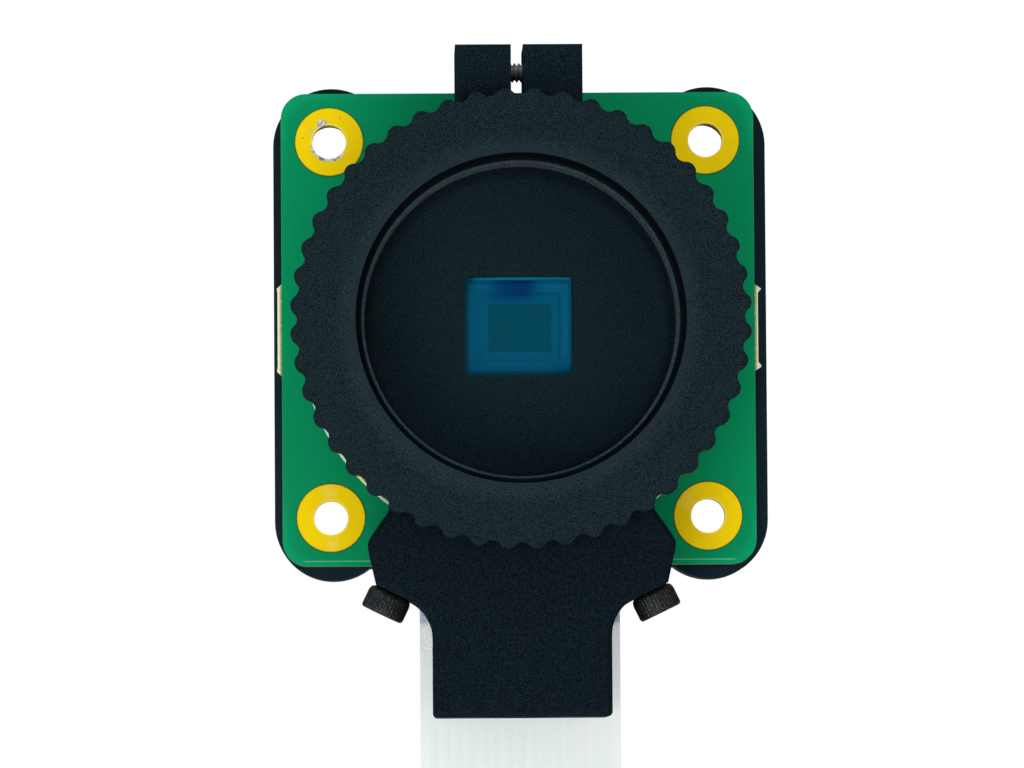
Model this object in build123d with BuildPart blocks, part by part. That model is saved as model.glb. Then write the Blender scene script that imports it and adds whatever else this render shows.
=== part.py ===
from build123d import *
import os
from math import asin, cos, degrees, radians, sin, sqrt, tan

# Camera module for interchangeable threaded lenses, in millimetres.
# X is to the right, Z is up and the lens looks along -Y.
# The origin is the mouth of the tripod thread, in the foot's bottom face.
# A depth is a distance in front of the circuit board's front face: below zero it is behind it.

# Circuit board
board_size = 37.7
board_thickness = 1.2
board_corner_radius = 2.0
hole_spacing = 30.0
hole_radius = 1.35
pad_radius = 2.7
pad_clearance = 0.3
plating = 0.04
break_length_left = 6.6
break_length_right = 6.2
break_tab_left = 0.33
break_tab_right = 0.26
break_burr_left = 0.38
break_burr_right = 0.52
break_tab_flare = 0.35

# Main housing, a turned and milled block that stands on the board
lens_height = 31.0
housing_radius = 17.0
focus_thread_radius = 14.5
well_floor_depth = 3.6
well_floor_thickness = 1.0
window_width = 8.5
window_height = 7.8
window_corner_radius = 0.4
front_chamfer = 0.4

# Clamp lugs on top of the housing
lug_width = 10.0
lug_height = 21.75
lug_back_depth = 2.0
lug_root_radius = 1.0
clamp_slot = 0.95
clamp_slot_shift = -0.14
lock_screw_height = 19.85
lock_screw_radius = 0.8
lock_screw_length = 7.0
lock_head_radius = 1.4
lock_head_height = 1.6
lock_head_sink = 0.3
lock_socket = 1.5
lock_socket_depth = 0.8

# Back focus ring, which screws into the housing and takes the lens
ring_radius = 18.0
ring_flange = 3.4
ring_seat_gap = 0.2
scallop_count = 48
scallop_depth = 0.55
ring_lip_radius = 13.4
ring_step_radius = 14.6
ring_step = 0.4
ring_edge_chamfer = 0.35
lens_thread_radius = 12.7
lens_thread_length = 7.0
lens_mouth_radius = 12.87
lens_mouth_depth = 1.6
ring_relief_radius = 13.4
focus_travel = 4.9
focus_thread_left = 1.6
barrel_floor_gap = 0.3
running_clearance = 0.04

# Tripod foot
foot_width = 14.0
foot_back_depth = 0.3
foot_corner_radius = 0.4
wing_root = 10.4
wing_edge_angle = 35.0
wing_reach = 21.17
wing_shoulder_radius = 1.2
foot_screw_angle = 25.8
foot_screw_seat = 23.45
foot_screw_depth = 5.0
seat_edge = 1.35
wing_fillet = 3.2
tripod_thread_radius = 3.175
tripod_thread_length = 9.5
drill_point_length = 1.6

# M2 socket cap screws
cap_head_radius = 1.8
cap_head_height = 1.9
cap_head_chamfer = 0.2
cap_shank_radius = 1.0
cap_socket = 1.5
cap_socket_depth = 1.0
foot_screw_length = 8.0
board_screw_length = 6.0
board_screw_offset = 12.4
screw_clearance = 0.1
thread_clearance = 0.02
thread_run_out = 0.3

# Image sensor and what covers it
package_width = 11.0
package_height = 10.4
package_thickness = 1.9
package_base = 0.85
cavity_width = 8.0
cavity_height = 7.0
die_width = 6.4
die_height = 5.2
sensor_plane_depth = 1.3
cover_glass_width = 9.4
cover_glass_height = 8.6
cover_glass_thickness = 0.4
filter_thickness = 0.55
filter_ledge = 0.75
gasket_width = 1.5
gasket_thickness = 0.8
fitting_clearance = 0.1

# Moulded rear cover
cover_overhang = 0.8
cover_inset = 0.2
cover_shift_right = 0.17
cover_shift_down = 0.29
cover_depth = 4.76
cover_wall = 1.2
cover_floor = 1.2
cover_edge_chamfer = 0.5
tray_corner_radius = 0.6
corner_post_radius = 2.9
corner_hole_radius = 1.7
screw_post_radius = 3.0
screw_post_floor = 1.2
washer_radius = 2.0
washer_thickness = 0.3

# Cable connector, on the back of the board at its bottom edge
contact_count = 15
contact_pitch = 1.0
connector_width = 22.0
connector_length = 5.0
connector_height = 2.6
connector_edge = 0.4
connector_base = 0.7
connector_slot_depth = 4.1
contact_width = 0.3
contact_thickness = 0.35
contact_tail_length = 0.9
contact_tail_thickness = 0.2
latch_width = 20.6
latch_bar = 1.0
latch_bar_chamfer = 0.2
latch_tongue = 0.4
latch_travel = 1.0
latch_grip = 2.0
sliding_clearance = 0.05

# Flat ribbon cable
ribbon_width = 16.0
ribbon_thickness = 0.2
stiffener_thickness = 0.12
stiffener_length = 10.0
bare_contact_length = 4.0
bare_contact_width = 0.7
bare_contact_thickness = 0.05
ribbon_bends = [(-14.6, 0.0), (-54.5, 2.8), (-96.2, 8.0), (-132.3, 13.6)]
tightest_share = 0.45

# Small parts on the back of the board: width, height and depth, then places from the lens axis
regulator_size = (2.9, 1.6, 1.1)
regulator_places = [(-11.5, 9.5), (-11.5, 6.2), (10.9, 8.6)]
regulator_chamfer = 0.15
lead_size = (0.4, 0.6, 0.15)
lead_pitch = 0.95
leads_per_side = 3
oscillator_size = (2.5, 2.0, 0.8)
oscillator_place = (5.4, 12.6)
inductor_size = (2.0, 1.6, 1.0)
inductor_places = [(-7.4, 9.5), (-7.4, 6.2)]
capacitor_size = (1.0, 0.5, 0.5)
resistor_size = (1.0, 0.5, 0.35)
chip_pitch = 1.6
low_row_gap = 3.35

# How far a cutting shape runs past the face that it cuts, and how near an edge lies to where it is picked
overcut = 1.0
pick_band = 0.01

# Sizes that follow
barrel_length = focus_travel + focus_thread_left
housing_depth = well_floor_depth + barrel_floor_gap + barrel_length - ring_seat_gap
foot_front_depth = housing_depth
cover_width = board_size + 2 * cover_overhang
cover_height = board_size - 2 * cover_inset
cover_lobe_radius = (cover_width - hole_spacing) / 2
board_face = (foot_front_depth + foot_back_depth) / 2
ring_back_depth = housing_depth + ring_seat_gap
ring_front_depth = ring_back_depth + ring_flange
filter_front_depth = well_floor_depth - well_floor_thickness
filter_back_depth = filter_front_depth - filter_thickness
filter_width = window_width + 2 * filter_ledge
filter_height = window_height + 2 * filter_ledge
package_pocket_width = package_width + 2 * fitting_clearance
package_pocket_height = package_height + 2 * fitting_clearance
gasket_outer_width = package_pocket_width + 2 * gasket_width
gasket_outer_height = package_pocket_height + 2 * gasket_width
cover_front_depth = -board_thickness - plating
cover_back_depth = cover_front_depth - cover_depth
lock_screw_depth = (housing_depth + lug_back_depth) / 2
connector_bottom = -board_size / 2 + connector_edge + latch_bar + sliding_clearance
connector_top = connector_bottom + connector_length
low_row = connector_top + low_row_gap
capacitor_rows = [(-4.5, 9.0), (-4.5, 7.4), (3.6, low_row), (-9.0, low_row)]
capacitor_counts = [5, 5, 4, 4]
resistor_rows = [(8.3, 12.6), (9.4, 4.9), (-2.4, low_row)]
resistor_counts = [3, 3, 4]
contact_face = connector_base + contact_thickness
ribbon_face = contact_face + bare_contact_thickness
stiffener_face = ribbon_face + ribbon_thickness
tongue_face = stiffener_face + stiffener_thickness + sliding_clearance
slot_top = tongue_face + latch_tongue + sliding_clearance


def lens_plane(depth):
    """A plane across the lens axis: its X is right, its Y is up and it faces forward."""
    origin = (0, board_face - depth, lens_height)
    return Plane(origin=origin, x_dir=(1, 0, 0), z_dir=(0, -1, 0))


def cover_plane(depth):
    """A plane like the one above, on the middle of the rear cover, which isn't quite the board's."""
    return lens_plane(depth).moved(Location((cover_shift_right, -cover_shift_down, 0)))


def profile_plane():
    """Half sections of turned parts: X is the radius and Y is the depth."""
    return Plane(origin=(0, board_face, lens_height), x_dir=(1, 0, 0), z_dir=(0, 0, -1))


def foot_screw_plane(side, radius):
    """Faces out along a foot screw, at a radius from the lens axis; side is -1 or 1."""
    angle = radians(foot_screw_angle)
    out = (side * sin(angle), 0, -cos(angle))
    origin = (out[0] * radius, board_face - foot_screw_depth, lens_height + out[2] * radius)
    return Plane(origin=origin, z_dir=out)


def down_plane(height, behind):
    """Faces down at a height from the lens axis and a distance behind the board's back."""
    origin = (0, board_face + board_thickness + behind, lens_height + height)
    return Plane(origin=origin, x_dir=(1, 0, 0), z_dir=(0, 0, -1))


def polar(radius, angle):
    """A point of a sketch, from its distance to the middle and its angle in degrees."""
    return (radius * cos(radians(angle)), radius * sin(radians(angle)))


lens_axis = Axis((0, board_face, lens_height), (0, -1, 0))


def cap_screw(seat, shank_radius, length, head_radius, head_height, socket, socket_depth):
    """A socket cap screw whose head stands on the seat plane."""
    with BuildPart() as screw:
        with BuildSketch(seat):
            Circle(head_radius)
        extrude(amount=head_height)
        top = screw.faces().sort_by(Axis(seat.origin, seat.z_dir))[-1]
        chamfer(top.edges(), cap_head_chamfer)
        with BuildSketch(seat.offset(head_height)):
            RegularPolygon(socket / 2, 6, major_radius=False)
        extrude(amount=-socket_depth, mode=Mode.SUBTRACT)
        with BuildSketch(seat):
            Circle(shank_radius)
        extrude(amount=-length)
    return screw.part


def save(part, name):
    part.label = name
    export_step(part, "parts/" + name + ".step")


os.makedirs("parts", exist_ok=True)


# Circuit board, with what is left of the tabs that held it in its panel

with BuildPart() as circuit_board:
    with BuildSketch(lens_plane(0)) as board_outline:
        RectangleRounded(board_size, board_size, board_corner_radius)
        for side, length, reach, burr in (
            (-1, break_length_left, break_tab_left, break_burr_left),
            (1, break_length_right, break_tab_right, break_burr_right),
        ):
            edge = side * board_size / 2
            half = length / 2
            with BuildLine():
                Polyline(
                    (edge, -half - break_tab_flare),
                    (edge + side * burr, -half),
                    (edge + side * reach, -half + break_tab_flare),
                    (edge + side * reach, half - break_tab_flare),
                    (edge + side * burr, half),
                    (edge, half + break_tab_flare),
                    close=True,
                )
            make_face()
        with GridLocations(hole_spacing, hole_spacing, 2, 2):
            Circle(hole_radius + plating, mode=Mode.SUBTRACT)
        with GridLocations(2 * board_screw_offset, 0, 2, 1):
            Circle(cap_shank_radius + screw_clearance, mode=Mode.SUBTRACT)
    extrude(amount=-board_thickness)
save(circuit_board.part, "circuit_board")

# Gold plating of the four mounting holes: a ring on each face, joined through the hole

with BuildPart() as mounting_pads:
    for face_depth in (plating, -board_thickness):
        with BuildSketch(lens_plane(face_depth)):
            with GridLocations(hole_spacing, hole_spacing, 2, 2):
                Circle(pad_radius)
                Circle(hole_radius, mode=Mode.SUBTRACT)
            Circle(housing_radius + pad_clearance, mode=Mode.SUBTRACT)
        extrude(amount=-plating)
    with BuildSketch(lens_plane(0)):
        with GridLocations(hole_spacing, hole_spacing, 2, 2):
            Circle(hole_radius + plating)
            Circle(hole_radius, mode=Mode.SUBTRACT)
    extrude(amount=-board_thickness)
save(mounting_pads.part, "mounting_pads")

# Main housing: a split cup with a window in its floor and two clamp lugs

with BuildPart() as main_housing:
    with BuildSketch(lens_plane(0)):
        Circle(housing_radius)
    extrude(amount=housing_depth)
    with BuildSketch(lens_plane(lug_back_depth)):
        with Locations((0, lug_height / 2)):
            Rectangle(lug_width, lug_height)
    extrude(amount=housing_depth - lug_back_depth)
    lug_root = lens_height + sqrt(housing_radius**2 - (lug_width / 2) ** 2)
    roots = main_housing.edges().filter_by(Axis.Y)
    roots = roots.filter_by_position(Axis.Z, lug_root - pick_band, lug_root + pick_band)
    fillet(roots, lug_root_radius)
    chamfer(main_housing.faces().sort_by(Axis.Y)[0].edges(), front_chamfer)
    with BuildSketch(lens_plane(well_floor_depth)):
        Circle(focus_thread_radius)
    extrude(amount=housing_depth - well_floor_depth, mode=Mode.SUBTRACT)
    with BuildSketch(lens_plane(0)):
        RectangleRounded(window_width, window_height, window_corner_radius)
    extrude(amount=well_floor_depth, mode=Mode.SUBTRACT)
    with BuildSketch(lens_plane(0)):
        Rectangle(filter_width + 2 * fitting_clearance, filter_height + 2 * fitting_clearance)
    extrude(amount=filter_front_depth, mode=Mode.SUBTRACT)
    with BuildSketch(lens_plane(0)):
        Rectangle(package_pocket_width, package_pocket_height)
    extrude(amount=filter_back_depth, mode=Mode.SUBTRACT)
    with BuildSketch(lens_plane(0)):
        Rectangle(gasket_outer_width, gasket_outer_height)
    extrude(amount=gasket_thickness, mode=Mode.SUBTRACT)
    with BuildSketch(lens_plane(lug_back_depth)):
        with Locations((clamp_slot_shift, (lug_height + focus_thread_radius) / 2)):
            Rectangle(clamp_slot, lug_height - focus_thread_radius + clamp_slot)
    extrude(amount=housing_depth - lug_back_depth, mode=Mode.SUBTRACT)
    lock_place = (lug_width / 2, board_face - lock_screw_depth, lens_height + lock_screw_height)
    with Locations(Plane(origin=lock_place, z_dir=(1, 0, 0))):
        CounterBoreHole(
            radius=lock_screw_radius + screw_clearance,
            counter_bore_radius=lock_head_radius + screw_clearance,
            counter_bore_depth=lock_head_height + lock_head_sink,
            depth=lug_width / 2,
        )
        Hole(
            radius=lock_screw_radius + thread_clearance,
            depth=lock_head_height + lock_head_sink + lock_screw_length + thread_run_out,
        )
    with Locations(Plane(origin=(0, board_face, lens_height), x_dir=(1, 0, 0), z_dir=(0, 1, 0))):
        with GridLocations(2 * board_screw_offset, 0, 2, 1):
            Hole(radius=cap_shank_radius + thread_clearance, depth=well_floor_depth - thread_run_out)
    for side in (-1, 1):
        with Locations(foot_screw_plane(side, housing_radius)):
            Hole(
                radius=cap_shank_radius + thread_clearance,
                depth=housing_radius - foot_screw_seat + foot_screw_length + thread_run_out,
            )
save(main_housing.part, "main_housing")

# Back focus ring: a scalloped flange for the fingers and a barrel in the housing's thread

with BuildPart() as back_focus_ring:
    with BuildSketch(lens_plane(ring_back_depth)):
        with BuildLine():
            for i in range(scallop_count):
                crest = (i + 0.5) * 360 / scallop_count
                quarter = 90 / scallop_count
                start = polar(ring_radius - scallop_depth / 2, crest - quarter)
                middle = polar(ring_radius - scallop_depth / 2, crest + quarter)
                end = polar(ring_radius - scallop_depth / 2, crest + 3 * quarter)
                ThreePointArc(start, polar(ring_radius, crest), middle)
                ThreePointArc(middle, polar(ring_radius - scallop_depth, crest + 2 * quarter), end)
        make_face()
    extrude(amount=ring_flange)
    with BuildSketch(lens_plane(ring_back_depth)):
        Circle(focus_thread_radius - running_clearance)
    extrude(amount=-barrel_length)
    with BuildSketch(profile_plane()):
        face = ring_front_depth - ring_step
        beyond = ring_radius + ring_edge_chamfer
        with BuildLine():
            Polyline(
                (ring_lip_radius, ring_front_depth),
                (ring_step_radius, face),
                (ring_radius - ring_edge_chamfer, face),
                (beyond, face - 2 * ring_edge_chamfer),
                (beyond, ring_front_depth + ring_step),
                (ring_lip_radius, ring_front_depth + ring_step),
                close=True,
            )
        make_face()
    revolve(axis=lens_axis, mode=Mode.SUBTRACT)
    with BuildSketch(profile_plane()):
        thread_end = ring_front_depth - lens_thread_length
        barrel_end = ring_back_depth - barrel_length
        with BuildLine():
            Polyline(
                (0, barrel_end),
                (ring_relief_radius, barrel_end),
                (ring_relief_radius, thread_end),
                (lens_thread_radius, thread_end),
                (lens_thread_radius, ring_front_depth - lens_mouth_depth),
                (lens_mouth_radius, ring_front_depth - lens_mouth_depth),
                (lens_mouth_radius, ring_front_depth),
                (0, ring_front_depth),
                close=True,
            )
        make_face()
    revolve(axis=lens_axis, mode=Mode.SUBTRACT)
save(back_focus_ring.part, "back_focus_ring")

# Lock screw, which draws the lugs together on the ring

lock_seat = Plane(
    origin=(
        lug_width / 2 - lock_head_sink - lock_head_height,
        board_face - lock_screw_depth,
        lens_height + lock_screw_height,
    ),
    z_dir=(1, 0, 0),
)
focus_lock_screw = cap_screw(
    lock_seat,
    lock_screw_radius,
    lock_screw_length,
    lock_head_radius,
    lock_head_height,
    lock_socket,
    lock_socket_depth,
)
save(focus_lock_screw, "focus_lock_screw")

# Tripod foot: a block with a saddle and two wings that follow the housing

with BuildPart() as tripod_mount:
    angle = radians(foot_screw_angle)
    seat_centre = (foot_screw_seat * sin(angle), -foot_screw_seat * cos(angle))
    seat_tip = (seat_centre[0] + seat_edge * cos(angle), seat_centre[1] + seat_edge * sin(angle))
    seat_inner = (foot_width / 2, seat_centre[1] - (seat_centre[0] - foot_width / 2) * tan(angle))
    saddle_radius = housing_radius + thread_clearance
    shoulder = polar(wing_reach, wing_edge_angle - 90)
    with BuildSketch(lens_plane(foot_back_depth)) as foot_outline:
        with BuildLine():
            saddle = CenterArc((0, 0), saddle_radius, -90, degrees(asin(wing_root / saddle_radius)))
            Polyline(
                saddle @ 1,
                (wing_root, -wing_root / tan(radians(wing_edge_angle))),
                shoulder,
                seat_tip,
                seat_inner,
                (foot_width / 2, -lens_height),
                (0, -lens_height),
            )
            mirror(about=Plane.YZ)
        make_face()
        for height, radius in (
            (seat_inner[1], wing_fillet),
            (-lens_height, foot_corner_radius),
            (shoulder[1], wing_shoulder_radius),
        ):
            corners = foot_outline.vertices()
            corners = corners.filter_by_position(Axis.Y, height - pick_band, height + pick_band)
            fillet(corners, radius)
    extrude(amount=foot_front_depth - foot_back_depth)
    front_edges = tripod_mount.faces().sort_by(Axis.Y)[0].edges()
    chamfer(front_edges, front_chamfer)
    with Locations(Plane(origin=(0, 0, 0), x_dir=(1, 0, 0), z_dir=(0, 0, -1))):
        Hole(radius=tripod_thread_radius, depth=tripod_thread_length)
    with BuildSketch(Plane.XZ):
        with BuildLine():
            Polyline(
                (0, tripod_thread_length),
                (tripod_thread_radius, tripod_thread_length),
                (0, tripod_thread_length + drill_point_length),
                close=True,
            )
        make_face()
    revolve(axis=Axis.Z, mode=Mode.SUBTRACT)
    for side in (-1, 1):
        with Locations(foot_screw_plane(side, foot_screw_seat)):
            Hole(
                radius=cap_shank_radius + screw_clearance,
                depth=foot_screw_seat - housing_radius + overcut,
            )
save(tripod_mount.part, "tripod_mount")

# The two screws that hold the foot

for side, name in ((-1, "tripod_screw_left"), (1, "tripod_screw_right")):
    tripod_screw = cap_screw(
        foot_screw_plane(side, foot_screw_seat),
        cap_shank_radius,
        foot_screw_length,
        cap_head_radius,
        cap_head_height,
        cap_socket,
        cap_socket_depth,
    )
    save(tripod_screw, name)

# Infrared filter, glued behind the window

with BuildPart() as ir_cut_filter:
    with BuildSketch(lens_plane(filter_back_depth)):
        Rectangle(filter_width, filter_height)
    extrude(amount=filter_thickness)
save(ir_cut_filter.part, "ir_cut_filter")

# Soft gasket that keeps dust and light out between the housing and the board

with BuildPart() as sensor_gasket:
    with BuildSketch(lens_plane(0)):
        Rectangle(gasket_outer_width, gasket_outer_height)
        Rectangle(package_pocket_width, package_pocket_height, mode=Mode.SUBTRACT)
    extrude(amount=gasket_thickness)
save(sensor_gasket.part, "sensor_gasket")

# Image sensor: a cavity package, its die and the cover glass in a rebate

glass_seat = package_thickness - cover_glass_thickness
with BuildPart() as sensor_package:
    with BuildSketch(lens_plane(0)):
        Rectangle(package_width, package_height)
    extrude(amount=package_thickness)
    with BuildSketch(lens_plane(package_base)):
        Rectangle(cavity_width, cavity_height)
    extrude(amount=package_thickness - package_base, mode=Mode.SUBTRACT)
    with BuildSketch(lens_plane(glass_seat)):
        Rectangle(cover_glass_width + fitting_clearance, cover_glass_height + fitting_clearance)
    extrude(amount=cover_glass_thickness, mode=Mode.SUBTRACT)
save(sensor_package.part, "sensor_package")

with BuildPart() as sensor_die:
    with BuildSketch(lens_plane(package_base)):
        Rectangle(die_width, die_height)
    extrude(amount=sensor_plane_depth - package_base)
save(sensor_die.part, "sensor_die")

with BuildPart() as sensor_cover_glass:
    with BuildSketch(lens_plane(glass_seat)):
        Rectangle(cover_glass_width, cover_glass_height)
    extrude(amount=cover_glass_thickness)
save(sensor_cover_glass.part, "sensor_cover_glass")

# Rear cover: a shallow moulded tray with a round lobe at each mounting hole

with BuildPart() as rear_cover:
    with BuildSketch(cover_plane(cover_back_depth)):
        Rectangle(cover_width, hole_spacing)
        Rectangle(hole_spacing, cover_height)
        with GridLocations(hole_spacing, hole_spacing, 2, 2):
            Circle(cover_lobe_radius)
    extrude(amount=cover_depth)
    chamfer(rear_cover.faces().sort_by(Axis.Y)[-1].edges(), cover_edge_chamfer)
    with BuildSketch(cover_plane(cover_front_depth)) as tray:
        Rectangle(cover_width - 2 * cover_wall, cover_height - 2 * cover_wall)
        post_inner = hole_spacing / 2 - corner_post_radius
        post_size = cover_width / 2 - post_inner
        with GridLocations(post_inner * 2 + post_size, post_inner * 2 + post_size, 2, 2):
            Rectangle(post_size, post_size, mode=Mode.SUBTRACT)
        fillet(tray.vertices(), tray_corner_radius)
        with Locations((-cover_shift_right, cover_shift_down)):
            with GridLocations(2 * board_screw_offset, 0, 2, 1):
                Circle(screw_post_radius, mode=Mode.SUBTRACT)
    extrude(amount=cover_floor - cover_depth, mode=Mode.SUBTRACT)
    with BuildSketch(cover_plane(cover_front_depth)):
        with Locations((-cover_shift_right, -cover_height / 2)):
            Rectangle(connector_width + 4 * fitting_clearance, 2 * (cover_wall + overcut))
    extrude(amount=cover_floor - cover_depth, mode=Mode.SUBTRACT)
    with BuildSketch(lens_plane(cover_back_depth)):
        with GridLocations(hole_spacing, hole_spacing, 2, 2):
            Circle(corner_hole_radius)
        with GridLocations(2 * board_screw_offset, 0, 2, 1):
            Circle(cap_shank_radius + screw_clearance)
    extrude(amount=cover_depth, mode=Mode.SUBTRACT)
    with BuildSketch(lens_plane(cover_back_depth)):
        with GridLocations(2 * board_screw_offset, 0, 2, 1):
            Circle(washer_radius + screw_clearance)
    extrude(amount=cover_depth - screw_post_floor, mode=Mode.SUBTRACT)
save(rear_cover.part, "rear_cover")

# The two screws that clamp cover, board and housing, with a washer under each head

washer_back_depth = cover_front_depth - screw_post_floor - washer_thickness
for side, hand in ((-1, "left"), (1, "right")):
    with BuildPart() as washer:
        with BuildSketch(lens_plane(washer_back_depth)):
            with Locations((side * board_screw_offset, 0)):
                Circle(washer_radius)
                Circle(cap_shank_radius + screw_clearance, mode=Mode.SUBTRACT)
        extrude(amount=washer_thickness)
    save(washer.part, "housing_washer_" + hand)
    screw_seat = Plane(
        origin=(side * board_screw_offset, board_face - washer_back_depth, lens_height),
        x_dir=(1, 0, 0),
        z_dir=(0, 1, 0),
    )
    housing_screw = cap_screw(
        screw_seat,
        cap_shank_radius,
        board_screw_length,
        cap_head_radius,
        cap_head_height,
        cap_socket,
        cap_socket_depth,
    )
    save(housing_screw, "housing_screw_" + hand)

# Cable connector: a body with a slot that opens downwards and a bar that slides to lock

with BuildPart() as cable_connector:
    with BuildSketch(down_plane(connector_bottom, connector_height / 2)):
        Rectangle(connector_width, connector_height)
    extrude(amount=-connector_length)
    slot_middle = (connector_base + slot_top) / 2
    with BuildSketch(down_plane(connector_bottom, slot_middle)):
        Rectangle(ribbon_width + 2 * fitting_clearance, slot_top - connector_base)
    extrude(amount=-connector_slot_depth, mode=Mode.SUBTRACT)
    arm_middle = connector_base + contact_thickness / 2
    with BuildSketch(down_plane(connector_bottom, arm_middle)):
        with GridLocations(contact_pitch, 0, contact_count, 1):
            Rectangle(contact_width + thread_clearance, contact_thickness + thread_clearance)
    extrude(amount=-connector_length, mode=Mode.SUBTRACT)
save(cable_connector.part, "cable_connector")

with BuildPart() as connector_contacts:
    arm_length = connector_length - sliding_clearance
    with BuildSketch(down_plane(connector_top, arm_middle)):
        with GridLocations(contact_pitch, 0, contact_count, 1):
            Rectangle(contact_width, contact_thickness)
    extrude(amount=arm_length - latch_bar)
    with BuildSketch(down_plane(connector_top, contact_face / 2)):
        with GridLocations(contact_pitch, 0, contact_count, 1):
            Rectangle(contact_width, contact_face)
    extrude(amount=-contact_thickness)
    with BuildSketch(down_plane(connector_top, contact_tail_thickness / 2)):
        with GridLocations(contact_pitch, 0, contact_count, 1):
            Rectangle(contact_width, contact_tail_thickness)
    extrude(amount=-contact_thickness - contact_tail_length)
save(connector_contacts.part, "connector_contacts")

with BuildPart() as connector_latch:
    bar_bottom = connector_bottom - sliding_clearance - latch_bar
    with BuildSketch(down_plane(bar_bottom, connector_height / 2)):
        Rectangle(latch_width, connector_height - 2 * sliding_clearance)
    extrude(amount=-latch_bar)
    chamfer(connector_latch.edges().filter_by(Axis.X).group_by(Axis.Z)[0], latch_bar_chamfer)
    cable_top = stiffener_face + stiffener_thickness + sliding_clearance
    cable_bottom = contact_face - sliding_clearance
    with BuildSketch(down_plane(bar_bottom, (cable_top + cable_bottom) / 2)):
        Rectangle(ribbon_width + fitting_clearance, cable_top - cable_bottom)
    extrude(amount=-latch_bar, mode=Mode.SUBTRACT)
    with BuildSketch(down_plane(bar_bottom + latch_bar, tongue_face + latch_tongue / 2)):
        Rectangle(ribbon_width, latch_tongue)
    extrude(amount=-latch_travel - latch_grip)
save(connector_latch.part, "connector_latch")

# Flat cable: straight down out of the connector, then a slow bend to the back

ribbon_top = connector_bottom + connector_slot_depth - fitting_clearance
ribbon_start_y = board_face + board_thickness + ribbon_face + ribbon_thickness / 2
ribbon_route = [(0, ribbon_start_y, lens_height + ribbon_top)]
for height, behind in ribbon_bends:
    ribbon_route.append((0, ribbon_start_y + behind, height))


def corner_radii(points):
    """The largest arc that the runs beside each corner allow, as a share of the shorter one."""
    radii = []
    for before, corner, after in zip(points, points[1:], points[2:]):
        run_in = Vector(*corner) - Vector(*before)
        run_out = Vector(*after) - Vector(*corner)
        half_turn = radians(run_in.get_angle(run_out)) / 2
        radii.append(tightest_share * min(run_in.length, run_out.length) / tan(half_turn))
    return radii


ribbon_radii = corner_radii(ribbon_route)
print("ribbon bend radii", [round(radius, 1) for radius in ribbon_radii])

with BuildPart() as ribbon_cable:
    with BuildLine() as ribbon_path:
        FilletPolyline(*ribbon_route, radius=ribbon_radii)
    with BuildSketch(Plane(origin=ribbon_route[0], x_dir=(1, 0, 0), z_dir=(0, 0, -1))):
        Rectangle(ribbon_width, ribbon_thickness)
    sweep(path=ribbon_path.wire())
print("ribbon length", round(ribbon_path.wire().length, 2))
print("section times length", round(ribbon_path.wire().length * ribbon_width * ribbon_thickness, 1))
print("ribbon volume", round(ribbon_cable.part.volume, 1))
save(ribbon_cable.part, "ribbon_cable")


def ribbon_end(point, towards):
    """A plane at an end of the cable: X across it, Y along it inwards, facing its contacts."""
    inwards = (Vector(*towards) - Vector(*point)).normalized()
    facing = Vector(1, 0, 0).cross(inwards)
    return Plane(origin=point, x_dir=(1, 0, 0), z_dir=facing)


ribbon_ends = {
    "near": ribbon_end(ribbon_route[0], ribbon_route[1]),
    "far": ribbon_end(ribbon_route[-1], ribbon_route[-2]),
}
for place, end in ribbon_ends.items():
    to_front = -1 if end.z_dir.Y > 0 else 1
    with BuildPart() as stiffener:
        with BuildSketch(end.offset(-to_front * ribbon_thickness / 2)):
            with Locations((0, stiffener_length / 2)):
                Rectangle(ribbon_width, stiffener_length)
        extrude(amount=-to_front * stiffener_thickness)
    save(stiffener.part, "ribbon_stiffener_" + place)
    with BuildPart() as contacts:
        with BuildSketch(end.offset(to_front * ribbon_thickness / 2)):
            with Locations((0, bare_contact_length / 2)):
                with GridLocations(contact_pitch, 0, contact_count, 1):
                    Rectangle(bare_contact_width, bare_contact_length)
        extrude(amount=to_front * bare_contact_thickness)
    save(contacts.part, "ribbon_contacts_" + place)

# Small parts on the back of the board


def chip_rows(rows, counts):
    """Places of the chips in rows, from the first place and the number of chips of each row."""
    places = []
    for (x, z), count in zip(rows, counts):
        places += [(x + i * chip_pitch, z) for i in range(count)]
    return places


def chips(size, places):
    """Plain chips of one size on the back of the board."""
    with BuildPart() as group:
        with BuildSketch(lens_plane(-board_thickness)):
            with Locations(*places):
                Rectangle(size[0], size[1])
        extrude(amount=-size[2])
    return group.part


with BuildPart() as voltage_regulators:
    with BuildSketch(lens_plane(-board_thickness)):
        with Locations(*regulator_places):
            Rectangle(regulator_size[0], regulator_size[1])
    extrude(amount=-regulator_size[2])
    tops = voltage_regulators.faces().sort_by(Axis.Y)[-len(regulator_places) :]
    chamfer(tops.edges(), regulator_chamfer)
    with BuildSketch(lens_plane(-board_thickness)):
        with Locations(*regulator_places):
            with GridLocations(lead_pitch, regulator_size[1] + lead_size[1], leads_per_side, 2):
                Rectangle(lead_size[0], lead_size[1])
    extrude(amount=-lead_size[2])
save(voltage_regulators.part, "voltage_regulators")

save(chips(oscillator_size, [oscillator_place]), "clock_oscillator")
save(chips(inductor_size, inductor_places), "power_inductors")
save(chips(capacitor_size, chip_rows(capacitor_rows, capacitor_counts)), "capacitors")
save(chips(resistor_size, chip_rows(resistor_rows, resistor_counts)), "resistors")
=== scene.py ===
import math

import bpy
from mathutils import Matrix, Vector


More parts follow.
